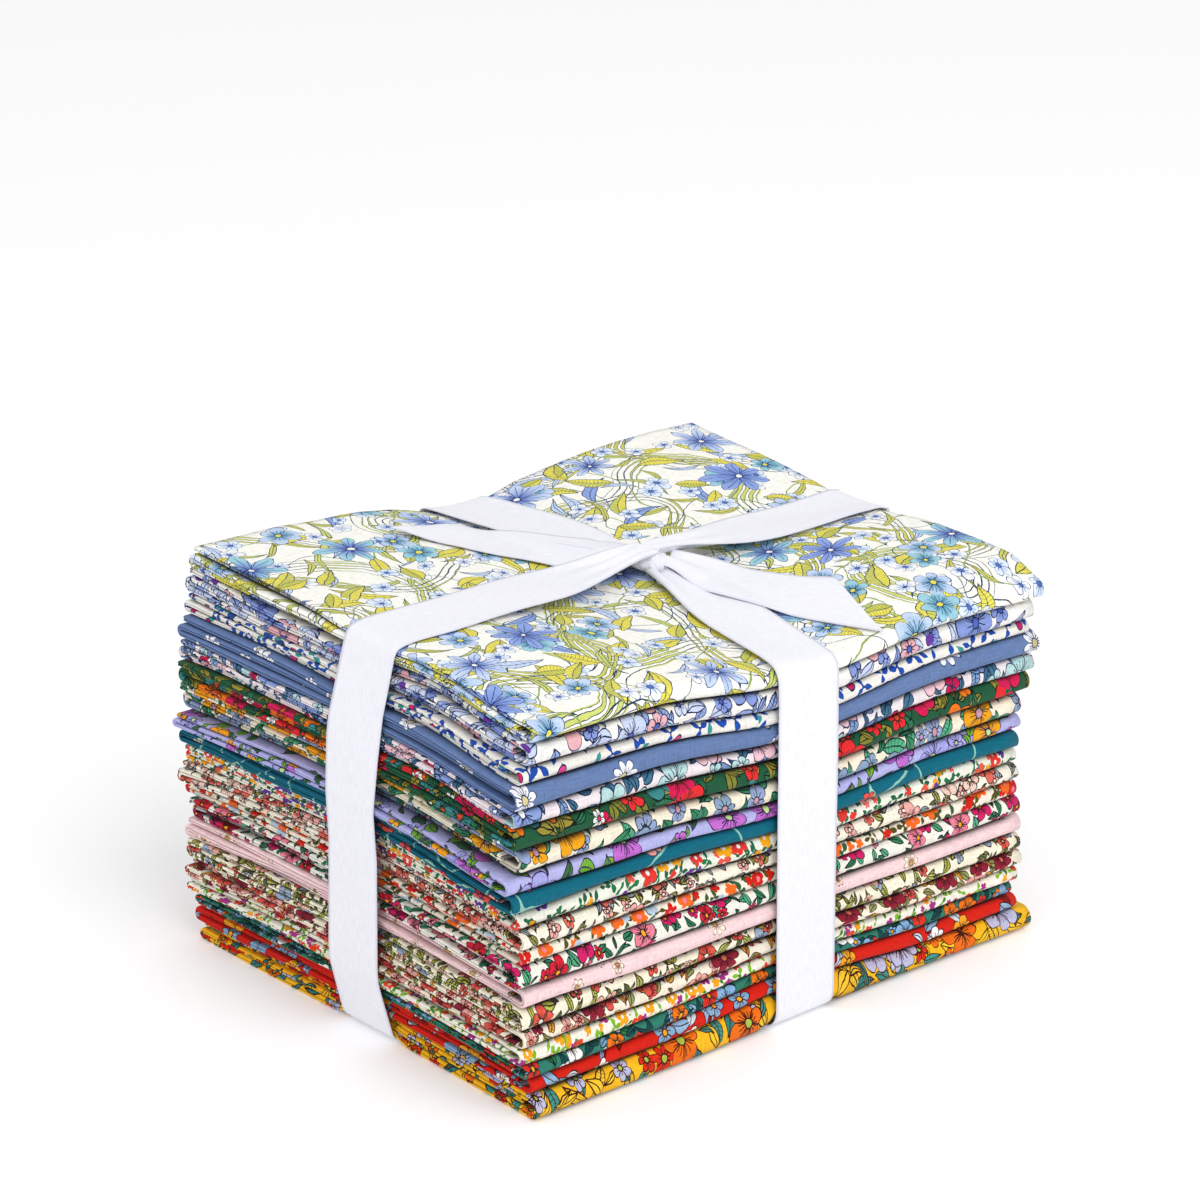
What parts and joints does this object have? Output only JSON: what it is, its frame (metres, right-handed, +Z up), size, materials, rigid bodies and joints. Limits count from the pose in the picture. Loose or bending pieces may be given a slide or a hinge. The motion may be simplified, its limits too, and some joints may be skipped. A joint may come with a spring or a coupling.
{
  "type": "fat quarter bundle",
  "caption": "Stack of folded cotton fat quarters in floral prints, tied crosswise with a white ribbon, its knot and cut ends lying on top.",
  "frame": {"origin": "centre of the bundle's box, on the surface it rests on", "axes": "+Z up; +X along the long side of the stack; the rolled fronts of the folds face -Y and the folded layer edges face -X"},
  "size_m": [0.1984, 0.1576, 0.123],
  "materials": {
    "fat_quarter_01": "printed cotton",
    "fat_quarter_02": "printed cotton",
    "fat_quarter_03": "printed cotton",
    "fat_quarter_04": "printed cotton",
    "fat_quarter_05": "printed cotton",
    "fat_quarter_06": "printed cotton",
    "fat_quarter_07": "printed cotton",
    "fat_quarter_08": "printed cotton",
    "fat_quarter_09": "printed cotton",
    "fat_quarter_10": "printed cotton",
    "fat_quarter_11": "printed cotton",
    "fat_quarter_12": "printed cotton",
    "fat_quarter_13": "printed cotton",
    "fat_quarter_14": "printed cotton",
    "fat_quarter_15": "printed cotton",
    "fat_quarter_16": "printed cotton",
    "fat_quarter_17": "printed cotton",
    "fat_quarter_18": "printed cotton",
    "fat_quarter_19": "printed cotton",
    "fat_quarter_20": "printed cotton",
    "ribbon": "woven ribbon"
  },
  "bodies": {
    "root": {"fat_quarter_01": "fat_quarter_01", "fat_quarter_02": "fat_quarter_02", "fat_quarter_03": "fat_quarter_03", "fat_quarter_04": "fat_quarter_04", "fat_quarter_05": "fat_quarter_05", "fat_quarter_06": "fat_quarter_06", "fat_quarter_07": "fat_quarter_07", "fat_quarter_08": "fat_quarter_08", "fat_quarter_09": "fat_quarter_09", "fat_quarter_10": "fat_quarter_10", "fat_quarter_11": "fat_quarter_11", "fat_quarter_12": "fat_quarter_12", "fat_quarter_13": "fat_quarter_13", "fat_quarter_14": "fat_quarter_14", "fat_quarter_15": "fat_quarter_15", "fat_quarter_16": "fat_quarter_16", "fat_quarter_17": "fat_quarter_17", "fat_quarter_18": "fat_quarter_18", "fat_quarter_19": "fat_quarter_19", "fat_quarter_20": "fat_quarter_20", "ribbon": "ribbon"}
  },
  "joints": []
}
